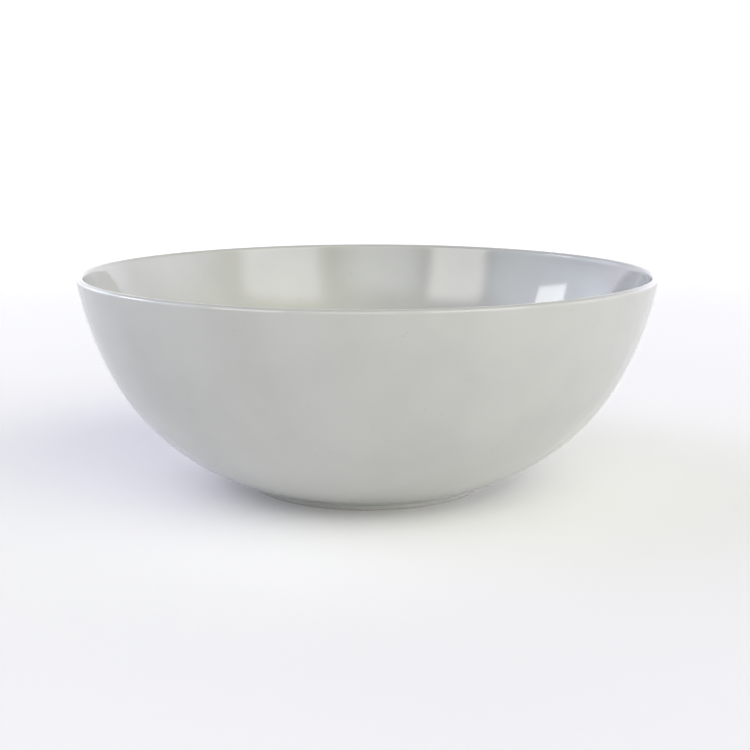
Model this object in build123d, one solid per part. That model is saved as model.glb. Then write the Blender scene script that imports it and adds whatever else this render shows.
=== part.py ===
from build123d import *

import math
import os

# A round ceramic serving bowl, turned about Z and standing on its foot ring at z = 0.
# Lengths are millimetres and angles are degrees.

# Rim and lip
RIM_DIAMETER = 250.0
HEIGHT = 94.0
LIP_THICKNESS = 3.0

# Wall: two arcs that meet tangentially. Each angle is the wall's lean from vertical.
LIP_ANGLE = 9.0
JOIN_ANGLE = 28.0
UPPER_WALL_RADIUS = 135.0
LOWER_WALL_RADIUS = 97.0

# Foot ring and base
FOOT_DIAMETER = 105.0
FOOT_WIDTH = 4.5
FOOT_FILLET_RADIUS = 1.8
FOOT_EDGE_RADIUS = 0.6
RECESS_DEPTH = 1.8
RECESS_FILLET_RADIUS = 1.0
BASE_THICKNESS = 3.8

# Worked out from the driving dimensions
RIM_RADIUS = RIM_DIAMETER / 2
LIP_RADIUS = LIP_THICKNESS / 2
LIP_CENTRE = (RIM_RADIUS - LIP_RADIUS, HEIGHT - LIP_RADIUS)
FOOT_RADIUS = FOOT_DIAMETER / 2
FLOOR_HEIGHT = RECESS_DEPTH + BASE_THICKNESS
FLOOR_ANGLE = 90.0
CREST_ANGLE = -90.0


def on_arc(centre, radius, lean):
    """The point of an arc of the wall where the wall leans this far from vertical."""
    angle = math.radians(lean)
    return (centre[0] + radius * math.cos(angle), centre[1] - radius * math.sin(angle))


def centre_through(point, radius, lean):
    """The centre of the arc that passes through a point where the wall leans this far."""
    return on_arc(point, -radius, lean)


def wall_arc(centre, radius, lean_from, lean_to):
    """One arc of the wall, from one lean to the other."""
    return ThreePointArc(
        on_arc(centre, radius, lean_from),
        on_arc(centre, radius, (lean_from + lean_to) / 2),
        on_arc(centre, radius, lean_to),
    )


def outer_wall():
    """The two arcs outside, from the lip down to the foot, and the point where they end."""
    upper_centre = centre_through(LIP_CENTRE, UPPER_WALL_RADIUS - LIP_RADIUS, LIP_ANGLE)
    join = on_arc(upper_centre, UPPER_WALL_RADIUS, JOIN_ANGLE)
    lower_centre = centre_through(join, LOWER_WALL_RADIUS, JOIN_ANGLE)
    foot_angle = math.degrees(math.acos((FOOT_RADIUS - lower_centre[0]) / LOWER_WALL_RADIUS))
    upper = wall_arc(upper_centre, UPPER_WALL_RADIUS, LIP_ANGLE, JOIN_ANGLE)
    lower = wall_arc(lower_centre, LOWER_WALL_RADIUS, JOIN_ANGLE, foot_angle)
    return [upper, lower], on_arc(lower_centre, LOWER_WALL_RADIUS, foot_angle)


def inner_wall():
    """The two arcs inside, from the lip down to the flat floor, and the point where they end.

    The wall keeps the lip's thickness down to the join and thickens below it.
    """
    upper_centre = centre_through(LIP_CENTRE, UPPER_WALL_RADIUS - LIP_RADIUS, LIP_ANGLE)
    upper_radius = UPPER_WALL_RADIUS - LIP_THICKNESS
    join = on_arc(upper_centre, upper_radius, JOIN_ANGLE)
    lower_radius = (join[1] - FLOOR_HEIGHT) / (1 - math.sin(math.radians(JOIN_ANGLE)))
    lower_centre = centre_through(join, lower_radius, JOIN_ANGLE)
    upper = wall_arc(upper_centre, upper_radius, LIP_ANGLE, JOIN_ANGLE)
    lower = wall_arc(lower_centre, lower_radius, JOIN_ANGLE, FLOOR_ANGLE)
    return [upper, lower], on_arc(lower_centre, lower_radius, FLOOR_ANGLE)


def lip():
    """The half-round lip, as one arc from the outer wall to the crest and one on to the inner wall."""
    return [
        wall_arc(LIP_CENTRE, LIP_RADIUS, LIP_ANGLE, CREST_ANGLE),
        wall_arc(LIP_CENTRE, LIP_RADIUS, CREST_ANGLE, LIP_ANGLE - 180),
    ]


def half_section():
    """Half of the bowl's section, with X as the radius and Y as the height."""
    outer_arcs, outer_foot_top = outer_wall()
    inner_arcs, floor_edge = inner_wall()
    outer_foot_bottom = (FOOT_RADIUS, 0)
    inner_foot_bottom = (FOOT_RADIUS - FOOT_WIDTH, 0)
    recess_corner = (FOOT_RADIUS - FOOT_WIDTH, RECESS_DEPTH)
    underside = Polyline(
        outer_foot_top,
        outer_foot_bottom,
        inner_foot_bottom,
        recess_corner,
        (0, RECESS_DEPTH),
        (0, FLOOR_HEIGHT),
        floor_edge,
    )
    section = make_face([*lip(), *outer_arcs, *inner_arcs, underside])
    rounded = {
        outer_foot_top: FOOT_FILLET_RADIUS,
        outer_foot_bottom: FOOT_EDGE_RADIUS,
        inner_foot_bottom: FOOT_EDGE_RADIUS,
        recess_corner: RECESS_FILLET_RADIUS,
    }
    for corner, radius in rounded.items():
        vertex = section.vertices().sort_by_distance(corner)[0]
        section = fillet(vertex, radius)
    return section


def bowl():
    """The whole bowl: wall, floor, lip and foot ring are one body of clay."""
    return revolve(Plane.XZ * half_section(), Axis.Z, 360)


os.makedirs("parts", exist_ok=True)
export_step(bowl(), "parts/bowl.step")
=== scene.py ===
import math

import bpy
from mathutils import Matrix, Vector


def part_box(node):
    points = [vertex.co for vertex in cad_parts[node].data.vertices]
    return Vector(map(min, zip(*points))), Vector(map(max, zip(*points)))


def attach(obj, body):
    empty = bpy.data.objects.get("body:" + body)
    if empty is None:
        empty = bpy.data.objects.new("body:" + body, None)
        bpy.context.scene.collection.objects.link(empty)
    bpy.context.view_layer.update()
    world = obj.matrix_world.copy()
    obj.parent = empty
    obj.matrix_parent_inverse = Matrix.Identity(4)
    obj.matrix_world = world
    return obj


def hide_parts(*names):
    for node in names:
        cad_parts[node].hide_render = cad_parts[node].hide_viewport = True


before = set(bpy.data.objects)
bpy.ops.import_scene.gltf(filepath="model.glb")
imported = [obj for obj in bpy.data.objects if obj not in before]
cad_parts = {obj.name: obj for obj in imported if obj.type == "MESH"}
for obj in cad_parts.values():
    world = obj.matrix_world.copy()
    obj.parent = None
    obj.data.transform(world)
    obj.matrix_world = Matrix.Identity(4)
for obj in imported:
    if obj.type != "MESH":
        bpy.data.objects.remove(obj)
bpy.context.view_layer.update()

# A glazed ceramic serving bowl on a pale studio floor.
# Lengths are metres and angles are degrees, unless a comment says otherwise.
bowl_low, bowl_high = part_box("bowl")

# Rim and wall: two arcs that meet tangentially. Each lean is the wall's angle from vertical.
RIM_RADIUS = bowl_high.x
HEIGHT = bowl_high.z
LIP_THICKNESS = 0.003
LIP_LEAN = 9
JOIN_LEAN = 28
UPPER_WALL_RADIUS = 0.135
LOWER_WALL_RADIUS = 0.097

# Foot ring and base
FOOT_RADIUS = 0.0525
FOOT_WIDTH = 0.0045
FOOT_FILLET = 0.0018
FOOT_EDGE = 0.0006
RECESS_DEPTH = 0.0018
RECESS_FILLET = 0.001
RECESS_DOME = 0.0005
BASE_THICKNESS = 0.0038
GLAZE_STEP = 0.00015
GLAZE_LINE = 0.0008

# Firing leaves the rim a little out of round and out of level. Each turn is in radians.
OVAL = 0.0003
OVAL_TURN = 0.6
WARP = 0.00012
WARP_TURN = 1.9

# Mesh density
TURN_STEPS = 288
POINT_GAP = 0.0014
SAME_POINT = 0.000001

LIP_RADIUS = LIP_THICKNESS / 2
FLOOR_HEIGHT = RECESS_DEPTH + BASE_THICKNESS

# Glaze colours and gloss
GLAZE_COLOUR = (0.52, 0.525, 0.5, 1)
GLAZE_CLOUD = (0.485, 0.49, 0.468, 1)
GLAZE_THIN = (0.495, 0.49, 0.46, 1)
GLAZE_POOLED = (0.6, 0.61, 0.585, 1)
GLAZE_SPECK = (0.25, 0.225, 0.19, 1)
GLAZE_GLOSS = 0.06
GLAZE_DULL = 0.1
GLAZE_IOR = 1.45
SCUFF_DULLING = 0.06
LIP_DULLING = 0.08

# Glaze detail. A share is a spot's radius against the size of the cell that it sits in.
CLOUD_SIZE = 0.04
SPECK_SIZE = 0.0022
SPECK_SHARE = 0.12
SPECK_STRENGTH = 0.6
RIPPLE_SIZE = 0.006
RIPPLE_DEPTH = 0.000006
PINHOLE_SIZE = 0.005
PINHOLE_SHARE = 0.05
PINHOLE_DEPTH = GLAZE_STEP / 4
RING_GAP = 0.0021
RING_DEPTH = 0.000008
LIP_BREAK = 0.0011

# Heights between which the pooled glaze, the scuffs and the turning rings fade out
POOLED_FADE = (0.0015, 0.005)
SCUFF_FADE = (0.006, 0.02)
RING_FADE = (0.0025, 0.003)

# Bare clay of the foot
CLAY_COLOUR = (0.62, 0.59, 0.53, 1)
CLAY_DARK = (0.44, 0.41, 0.36, 1)
CLAY_WORN = (0.3, 0.29, 0.27, 1)
CLAY_RUBBED = 0.6
CLAY_ROUGHNESS = (0.7, 0.95)
GRAIN_SIZE = 0.0006
GRAIN_DEPTH = 0.00005

# Studio floor, with a painted glow: least near the bowl, it grows with the distance from the bowl to
# meet the white backdrop.
FLOOR_REACH = 4
FLOOR_LIGHT = (0.96, 0.96, 0.955, 1)
FLOOR_SHADE = (0.945, 0.945, 0.94, 1)
FLOOR_MOTTLE = 0.25
FLOOR_ROUGHNESS = 0.9
FLOOR_SPECULAR = 0.2
FLOOR_GLOW = 0.24
FLOOR_GLOW_LEAST = 0.03
FLOOR_GLOW_START = 0.25
FLOOR_GLOW_FULL = 1.6

# Studio light. Directions are degrees round from the front towards the right, then degrees up.
# The soft glows fill the room: direction, sharpness, colour and strength.
GLOWS = (
    (0, 35, 8, (1.6, 1.6, 1.7)),
    (45, 35, 8, (2.4, 2.4, 1.8)),
    (90, 5, 12, (3.2, 3.15, 3.9)),
    (135, 5, 12, (2.0, 1.95, 2.35)),
    (180, 12, 8, (1.6, 1.6, 1.65)),
    (225, 5, 12, (2.2, 2.2, 2.4)),
    (270, 35, 8, (1.85, 1.85, 2.4)),
)
BACKDROP_COLOUR = (1, 1, 1, 1)
# The softboxes show only as reflections: direction, tilt, width, height, soft edge (as a share
# of the width and height), colour and strength.
SOFTBOX_DISTANCE = 1.5
SOFTBOX_TARGET = Vector((0, 0, 0.07))
SOFTBOXES = {
    "right_softbox": (42.5, 21, -12, 1.26, 0.87, 0.22, (3.8, 3.6, 4.5)),
    "left_softbox": (-45, 20.5, 8, 0.86, 0.87, 0.22, (6.4, 6.2, 6.0)),
    "front_softbox": (-8, 22, 0, 1.3, 0.9, 0.35, (2.3, 2.4, 2.6)),
    "side_softbox": (-98, 20, 0, 3.0, 0.9, 0.3, (2.3, 2.8, 3.0)),
    "side_window": (-100, 22, 18, 0.43, 0.3, 0.05, (8.0, 8.1, 7.9)),
}

# Camera
CAMERA_PLACE = Vector((0, -0.6, 0.1606))
CAMERA_TARGET = Vector((0.0033, 0, 0.0473))
CAMERA_LENS = 65.87
CAMERA_SENSOR = 36
CAMERA_NEAREST = 0.01


def polar(centre, radius, angle):
    """The point at this angle on a circle, as (distance from the axis, height)."""
    turn = math.radians(angle)
    return (centre[0] + radius * math.cos(turn), centre[1] + radius * math.sin(turn))


def arc(centre, radius, start, end):
    """Points along an arc, from one angle to the other, spaced for its size."""
    length = radius * math.radians(abs(end - start))
    steps = max(8, round(length / POINT_GAP))
    return [polar(centre, radius, start + (end - start) * i / steps) for i in range(steps + 1)]


def line(start, end):
    """Points along a straight run."""
    steps = max(1, round(math.dist(start, end) / POINT_GAP))
    share = [i / steps for i in range(steps + 1)]
    return [(start[0] + (end[0] - start[0]) * s, start[1] + (end[1] - start[1]) * s) for s in share]


def wall_centres():
    """Centres of the lip, the upper arcs, the outer and inner lower arcs, and the last one's radius."""
    lip_centre = (RIM_RADIUS - LIP_RADIUS, HEIGHT - LIP_RADIUS)
    upper = polar(lip_centre, LIP_RADIUS - UPPER_WALL_RADIUS, -LIP_LEAN)
    outer_join = polar(upper, UPPER_WALL_RADIUS, -JOIN_LEAN)
    outer_lower = polar(outer_join, -LOWER_WALL_RADIUS, -JOIN_LEAN)
    inner_join = polar(upper, UPPER_WALL_RADIUS - LIP_THICKNESS, -JOIN_LEAN)
    inner_radius = (inner_join[1] - FLOOR_HEIGHT) / (1 - math.sin(math.radians(JOIN_LEAN)))
    inner_lower = polar(inner_join, -inner_radius, -JOIN_LEAN)
    return lip_centre, upper, outer_lower, inner_lower, inner_radius


def glazed_outside():
    """The section from the middle of the floor, up the inside, over the lip and down to the foot."""
    lip_centre, upper, outer_lower, inner_lower, inner_radius = wall_centres()
    fillet_x = FOOT_RADIUS + FOOT_FILLET
    reach = LOWER_WALL_RADIUS + FOOT_FILLET
    fillet_z = outer_lower[1] - math.sqrt(reach**2 - (fillet_x - outer_lower[0]) ** 2)
    foot_lean = math.degrees(math.acos((fillet_x - outer_lower[0]) / reach))
    floor = line((0, FLOOR_HEIGHT), (inner_lower[0], FLOOR_HEIGHT))
    inside = arc(inner_lower, inner_radius, -90, -JOIN_LEAN)
    inside += arc(upper, UPPER_WALL_RADIUS - LIP_THICKNESS, -JOIN_LEAN, -LIP_LEAN)
    lip = arc(lip_centre, LIP_RADIUS, 180 - LIP_LEAN, -LIP_LEAN)
    outside = arc(upper, UPPER_WALL_RADIUS, -LIP_LEAN, -JOIN_LEAN)
    outside += arc(outer_lower, LOWER_WALL_RADIUS, -JOIN_LEAN, -foot_lean)
    fillet = arc((fillet_x, fillet_z), FOOT_FILLET, 180 - foot_lean, 180)
    face = line((FOOT_RADIUS, fillet_z), (FOOT_RADIUS, GLAZE_LINE))
    return floor + inside + lip + outside + fillet + face


def bare_foot():
    """The unglazed ring that the bowl stands on, a glaze thickness inside the glaze on both sides."""
    outer = FOOT_RADIUS - GLAZE_STEP
    inner = FOOT_RADIUS - FOOT_WIDTH + GLAZE_STEP
    ring = [(outer, GLAZE_LINE - GLAZE_STEP)]
    ring += arc((outer - FOOT_EDGE, FOOT_EDGE), FOOT_EDGE, 0, -90)
    ring += arc((inner + FOOT_EDGE, FOOT_EDGE), FOOT_EDGE, -90, -180)
    ring.append((inner, GLAZE_LINE - GLAZE_STEP))
    return ring


def glazed_underside():
    """The glazed recess under the base, from the foot ring in to the axis, slightly domed."""
    inner = FOOT_RADIUS - FOOT_WIDTH
    corner = (inner - RECESS_FILLET, RECESS_DEPTH - RECESS_FILLET)
    recess = [(inner, GLAZE_LINE)]
    recess += arc(corner, RECESS_FILLET, 0, 90)
    recess += line((corner[0], RECESS_DEPTH), (0, RECESS_DEPTH + RECESS_DOME))
    return recess


def without_repeats(points):
    """The same points with neighbours that coincide left out."""
    kept = [points[0]]
    for point in points[1:]:
        if math.dist(point, kept[-1]) > SAME_POINT:
            kept.append(point)
    return kept


def fired(radius, height, turn):
    """A point of the section, turned about the axis and moved by the warp of the firing."""
    share = (height / HEIGHT) ** 2
    radius += OVAL * share * math.cos(2 * turn + OVAL_TURN)
    height += WARP * share * math.cos(3 * turn + WARP_TURN)
    return (radius * math.cos(turn), radius * math.sin(turn), height)


def turned_faces(rings, bare):
    """Faces of a closed turned shape, from its first point on the axis to its last, and their slots.

    The faces that start at a ring listed in bare take the second material slot.
    """
    last = 1 + rings * TURN_STEPS
    faces = []
    slots = []
    for i in range(TURN_STEPS):
        j = (i + 1) % TURN_STEPS
        faces.append((0, 1 + i, 1 + j))
        slots.append(0)
        for k in range(rings - 1):
            near = 1 + k * TURN_STEPS
            far = near + TURN_STEPS
            faces.append((near + i, far + i, far + j, near + j))
            slots.append(1 if k + 1 in bare else 0)
        end = last - TURN_STEPS
        faces.append((last, end + j, end + i))
        slots.append(0)
    return faces, slots


def make_bowl():
    """The bowl as one closed mesh, with the bare foot ring in its second material."""
    above = without_repeats(glazed_outside())
    ring = without_repeats(bare_foot())
    below = without_repeats(glazed_underside())
    section = above + ring + below
    bare = range(len(above), len(above) + len(ring) - 1)
    turns = [math.tau * i / TURN_STEPS for i in range(TURN_STEPS)]
    verts = [fired(*section[0], 0)]
    for point in section[1:-1]:
        verts += [fired(*point, turn) for turn in turns]
    verts.append(fired(*section[-1], 0))
    faces, slots = turned_faces(len(section) - 2, bare)
    mesh = bpy.data.meshes.new("bowl_body")
    mesh.from_pydata(verts, [], faces)
    mesh.polygons.foreach_set("material_index", slots)
    mesh.polygons.foreach_set("use_smooth", [True] * len(faces))
    mesh.update()
    bowl = bpy.data.objects.new("bowl_body", mesh)
    bpy.context.scene.collection.objects.link(bowl)
    return bowl


def node(tree, kind, **settings):
    """A new shader node with these properties set."""
    made = tree.nodes.new("ShaderNode" + kind)
    for name, value in settings.items():
        setattr(made, name, value)
    return made


def feed(tree, socket, value):
    """Give a socket its value: a link from another node's output, or a plain number or colour."""
    if isinstance(value, bpy.types.NodeSocket):
        tree.links.new(value, socket)
    else:
        socket.default_value = value


def maths(tree, operation, first, second=0.0):
    """The result of one operation on two numbers, each a plain number or a socket."""
    made = node(tree, "Math", operation=operation)
    feed(tree, made.inputs[0], first)
    feed(tree, made.inputs[1], second)
    return made.outputs[0]


def ramp(tree, value, low, high, start=0.0, end=1.0):
    """A smooth step that goes from start, where the value is low, to end, where it is high."""
    made = node(tree, "MapRange", interpolation_type="SMOOTHSTEP")
    feed(tree, made.inputs["Value"], value)
    made.inputs["From Min"].default_value = low
    made.inputs["From Max"].default_value = high
    made.inputs["To Min"].default_value = start
    made.inputs["To Max"].default_value = end
    return made.outputs["Result"]


def blend(tree, share, first, second):
    """The first colour where share is 0 and the second where it is 1."""
    made = node(tree, "Mix", data_type="RGBA")
    feed(tree, made.inputs["Factor"], share)
    feed(tree, made.inputs["A"], first)
    feed(tree, made.inputs["B"], second)
    return made.outputs["Result"]


def noise(tree, place, size, detail=2.0):
    """A noise pattern with features of about this size in metres. Most values are 0.3 to 0.7."""
    made = node(tree, "TexNoise")
    feed(tree, made.inputs["Vector"], place)
    made.inputs["Scale"].default_value = 1 / size
    made.inputs["Detail"].default_value = detail
    return made.outputs["Fac"]


def spots(tree, place, size, radius):
    """1 inside small round spots, about one in each cell of this size, and 0 between them.

    The radius is a share of the cell.
    """
    made = node(tree, "TexVoronoi")
    feed(tree, made.inputs["Vector"], place)
    made.inputs["Scale"].default_value = 1 / size
    return ramp(tree, made.outputs["Distance"], radius * 0.6, radius, 1, 0)


def bump(tree, height, depth, below=None):
    """A bump of this depth in metres, over the normal of another bump where one is given."""
    made = node(tree, "Bump")
    made.inputs["Strength"].default_value = 1
    made.inputs["Distance"].default_value = depth
    feed(tree, made.inputs["Height"], height)
    if below is not None:
        feed(tree, made.inputs["Normal"], below)
    return made.outputs["Normal"]


def place_on_surface(tree):
    """The position on the surface in metres, its height and its distance from the bowl's axis."""
    place = node(tree, "TexCoord").outputs["Object"]
    parts = node(tree, "SeparateXYZ")
    feed(tree, parts.inputs[0], place)
    across = maths(tree, "MULTIPLY", parts.outputs["X"], parts.outputs["X"])
    along = maths(tree, "MULTIPLY", parts.outputs["Y"], parts.outputs["Y"])
    distance = maths(tree, "SQRT", maths(tree, "ADD", across, along))
    return place, parts.outputs["Z"], distance


def new_material(name):
    """A node material, with its node tree and its Principled shader."""
    material = bpy.data.materials.new(name)
    material.use_nodes = True
    tree = material.node_tree
    shader = tree.nodes["Principled BSDF"]
    return material, tree, shader


def glaze_material():
    """A glossy light grey glaze: cloudy, specked, thin over the lip and pooled above the foot."""
    material, tree, shader = new_material("light_grey_glaze")
    place, height, distance = place_on_surface(tree)

    clouds = ramp(tree, noise(tree, place, CLOUD_SIZE, 3), 0.35, 0.7)
    colour = blend(tree, clouds, GLAZE_COLOUR, GLAZE_CLOUD)
    pooled = ramp(tree, height, *POOLED_FADE, 1, 0)
    colour = blend(tree, pooled, colour, GLAZE_POOLED)
    uneven = ramp(tree, noise(tree, place, CLOUD_SIZE / 4), 0.3, 0.7, 0.35, 0.85)
    thin = maths(tree, "MULTIPLY", ramp(tree, height, HEIGHT - LIP_BREAK, HEIGHT), uneven)
    colour = blend(tree, thin, colour, GLAZE_THIN)
    rare = ramp(tree, noise(tree, place, SPECK_SIZE * 3, 0), 0.62, 0.7)
    specks = maths(tree, "MULTIPLY", spots(tree, place, SPECK_SIZE, SPECK_SHARE), rare)
    colour = blend(tree, maths(tree, "MULTIPLY", specks, SPECK_STRENGTH), colour, GLAZE_SPECK)
    feed(tree, shader.inputs["Base Color"], colour)

    patches = noise(tree, place, CLOUD_SIZE / 2, 4)
    gloss = ramp(tree, patches, 0.3, 0.75, GLAZE_GLOSS, GLAZE_DULL)
    worn_floor = ramp(tree, height, *SCUFF_FADE, SCUFF_DULLING, 0)
    scuffs = ramp(tree, noise(tree, place, SPECK_SIZE, 4), 0.5, 0.75)
    gloss = maths(tree, "ADD", gloss, maths(tree, "MULTIPLY", worn_floor, scuffs))
    gloss = maths(tree, "ADD", gloss, maths(tree, "MULTIPLY", thin, LIP_DULLING))
    feed(tree, shader.inputs["Roughness"], gloss)

    ripple = bump(tree, noise(tree, place, RIPPLE_SIZE, 1), RIPPLE_DEPTH)
    pinholes = spots(tree, place, PINHOLE_SIZE, PINHOLE_SHARE)
    pitted = bump(tree, maths(tree, "SUBTRACT", 1, pinholes), PINHOLE_DEPTH, ripple)
    turned = maths(tree, "SINE", maths(tree, "MULTIPLY", distance, math.tau / RING_GAP))
    underneath = ramp(tree, height, *RING_FADE, 1, 0)
    rings = maths(tree, "MULTIPLY", turned, underneath)
    feed(tree, shader.inputs["Normal"], bump(tree, rings, RING_DEPTH, pitted))

    shader.inputs["IOR"].default_value = GLAZE_IOR
    return material


def clay_material():
    """The bare fired clay of the foot ring, grainy, and worn grey where it touches the table."""
    material, tree, shader = new_material("bare_clay")
    place, height, _ = place_on_surface(tree)
    grain = noise(tree, place, GRAIN_SIZE, 4)
    colour = blend(tree, ramp(tree, grain, 0.35, 0.7), CLAY_COLOUR, CLAY_DARK)
    rubbed = ramp(tree, noise(tree, place, GRAIN_SIZE * 12, 3), 0.4, 0.65, 0, CLAY_RUBBED)
    contact = ramp(tree, height, 0, FOOT_EDGE / 2, 1, 0)
    colour = blend(tree, maths(tree, "MULTIPLY", rubbed, contact), colour, CLAY_WORN)
    feed(tree, shader.inputs["Base Color"], colour)
    feed(tree, shader.inputs["Roughness"], ramp(tree, grain, 0.3, 0.7, *CLAY_ROUGHNESS))
    feed(tree, shader.inputs["Normal"], bump(tree, grain, GRAIN_DEPTH))
    return material


def floor_material():
    """A pale matt studio floor with a faint mottle and a painted glow, brighter away from the bowl."""
    material, tree, shader = new_material("pale_floor")
    place, _, distance = place_on_surface(tree)
    mottle = ramp(tree, noise(tree, place, FLOOR_MOTTLE, 3), 0.3, 0.7)
    feed(tree, shader.inputs["Base Color"], blend(tree, mottle, FLOOR_LIGHT, FLOOR_SHADE))
    # Painted light: the floor glows faintly near the bowl and fully far from it.
    glow = ramp(tree, distance, FLOOR_GLOW_START, FLOOR_GLOW_FULL, FLOOR_GLOW_LEAST, FLOOR_GLOW)
    shader.inputs["Emission Color"].default_value = BACKDROP_COLOUR
    feed(tree, shader.inputs["Emission Strength"], glow)
    shader.inputs["Roughness"].default_value = FLOOR_ROUGHNESS
    shader.inputs["Specular IOR Level"].default_value = FLOOR_SPECULAR
    return material


def make_floor():
    """The floor that the bowl stands on."""
    mesh = bpy.data.meshes.new("floor")
    corners = [(-1, -1, 0), (1, -1, 0), (1, 1, 0), (-1, 1, 0)]
    corners = [(x * FLOOR_REACH, y * FLOOR_REACH, z) for x, y, z in corners]
    mesh.from_pydata(corners, [], [(0, 1, 2, 3)])
    mesh.materials.append(floor_material())
    floor = bpy.data.objects.new("floor", mesh)
    bpy.context.scene.collection.objects.link(floor)


def direction(around, up):
    """The unit vector this far round from the front towards the right, and this far up."""
    around = math.radians(around)
    up = math.radians(up)
    return Vector((math.sin(around) * math.cos(up), -math.cos(around) * math.cos(up), math.sin(up)))


def aim(thing, target):
    """Turn a camera or a light to face this point."""
    thing.rotation_euler = (target - thing.location).to_track_quat("-Z", "Y").to_euler()


def make_camera():
    """The camera, a little above the rim and in front of the bowl."""
    data = bpy.data.cameras.new("camera")
    data.sensor_width = CAMERA_SENSOR
    data.lens = CAMERA_LENS
    data.clip_start = CAMERA_NEAREST
    camera = bpy.data.objects.new("camera", data)
    camera.location = CAMERA_PLACE
    aim(camera, CAMERA_TARGET)
    bpy.context.scene.collection.objects.link(camera)
    bpy.context.scene.camera = camera


def make_world():
    """Soft light from all round the room, and a plain white backdrop behind the bowl."""
    world = bpy.data.worlds.new("studio")
    world.use_nodes = True
    tree = world.node_tree
    outward = node(tree, "TexCoord").outputs["Generated"]
    total = (0, 0, 0)
    for around, up, sharpness, colour in GLOWS:
        facing = node(tree, "VectorMath", operation="DOT_PRODUCT")
        feed(tree, facing.inputs[0], outward)
        feed(tree, facing.inputs[1], direction(around, up))
        glow = maths(tree, "POWER", maths(tree, "MAXIMUM", facing.outputs["Value"]), sharpness)
        tinted = node(tree, "VectorMath", operation="SCALE")
        feed(tree, tinted.inputs[0], colour)
        feed(tree, tinted.inputs["Scale"], glow)
        added = node(tree, "VectorMath", operation="ADD")
        feed(tree, added.inputs[0], total)
        feed(tree, added.inputs[1], tinted.outputs[0])
        total = added.outputs[0]
    seen = node(tree, "LightPath").outputs["Is Camera Ray"]
    background = tree.nodes["Background"]
    feed(tree, background.inputs["Color"], blend(tree, seen, total, BACKDROP_COLOUR))
    background.inputs["Strength"].default_value = 1
    bpy.context.scene.world = world
    bpy.context.scene.view_settings.view_transform = "Standard"


def fade_edges(light, edge):
    """Let a softbox fade out towards its four edges, over this share of its width and height."""
    light.use_nodes = True
    tree = light.node_tree
    across = node(tree, "SeparateXYZ")
    feed(tree, across.inputs[0], node(tree, "NewGeometry").outputs["Parametric"])
    fades = []
    for axis in ("X", "Y"):
        offset = maths(tree, "ABSOLUTE", maths(tree, "SUBTRACT", across.outputs[axis], 0.5))
        fades.append(ramp(tree, offset, 0.5 - edge, 0.5, 1, 0))
    feed(tree, tree.nodes["Emission"].inputs["Strength"], maths(tree, "MULTIPLY", *fades))


def make_softbox(name, around, up, tilt, width, height, edge, colour):
    """A rectangular light that shows only in the glaze's reflections."""
    light = bpy.data.lights.new(name, "AREA")
    light.shape = "RECTANGLE"
    light.size = width
    light.size_y = height
    strength = max(colour)
    light.color = [part / strength for part in colour]
    light.energy = math.pi * width * height * strength
    fade_edges(light, edge)
    softbox = bpy.data.objects.new(name, light)
    softbox.location = SOFTBOX_TARGET + SOFTBOX_DISTANCE * direction(around, up)
    aim(softbox, SOFTBOX_TARGET)
    softbox.rotation_euler.rotate_axis("Z", math.radians(tilt))
    softbox.visible_camera = False
    softbox.visible_diffuse = False
    bpy.context.scene.collection.objects.link(softbox)


make_camera()
make_world()
make_floor()
for name, settings in SOFTBOXES.items():
    make_softbox(name, *settings)
bowl = make_bowl()
bowl.data.materials.append(glaze_material())
bowl.data.materials.append(clay_material())
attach(bowl, "root")
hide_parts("bowl")
